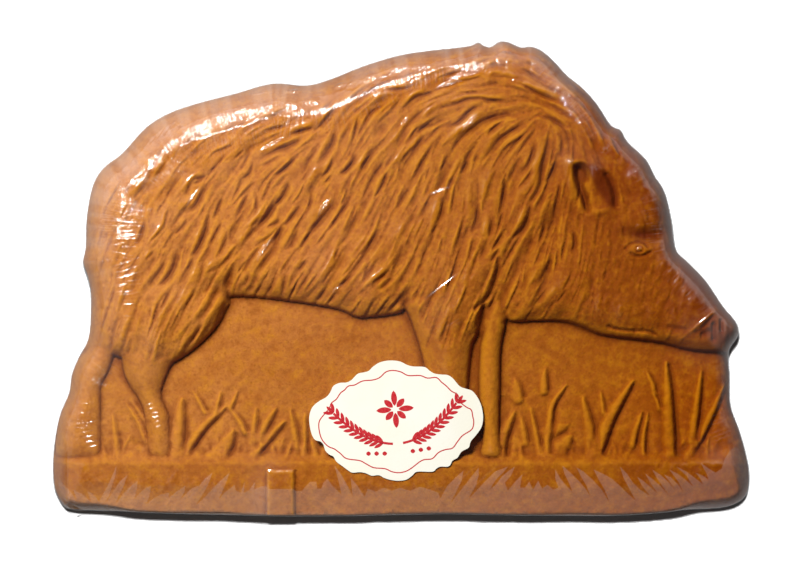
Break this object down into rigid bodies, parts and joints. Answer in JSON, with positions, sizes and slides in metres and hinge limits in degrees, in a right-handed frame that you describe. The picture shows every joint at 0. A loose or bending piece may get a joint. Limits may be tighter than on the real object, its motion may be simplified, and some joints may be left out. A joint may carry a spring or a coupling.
{
  "type": "couque de dinant",
  "caption": "Hard honey biscuit moulded in relief with a wild boar standing in grass, shut in tight clear film, with a lobed paper label across the feet.",
  "frame": {"origin": "middle of the underside's bounding box, on the surface the biscuit lies on", "axes": "+X from the boar's rump to its snout, +Y from its feet to its back, +Z out of the moulded face"},
  "size_m": [0.21, 0.1433, 0.0214],
  "materials": {
    "wrapped_biscuit": "honey-brown baked dough seen through tight glossy clear film",
    "biscuit": "hard honey-brown baked dough, matt, finely grained, darker in the carved grooves",
    "film": "thin clear shrink film, glossy, finely creased round the rim",
    "label_paper": "cream-white uncoated label paper",
    "label_print": "flat red printing ink"
  },
  "bodies": {
    "root": {"wrapped_couque": "wrapped_biscuit", "label": "label_paper"}
  },
  "joints": []
}
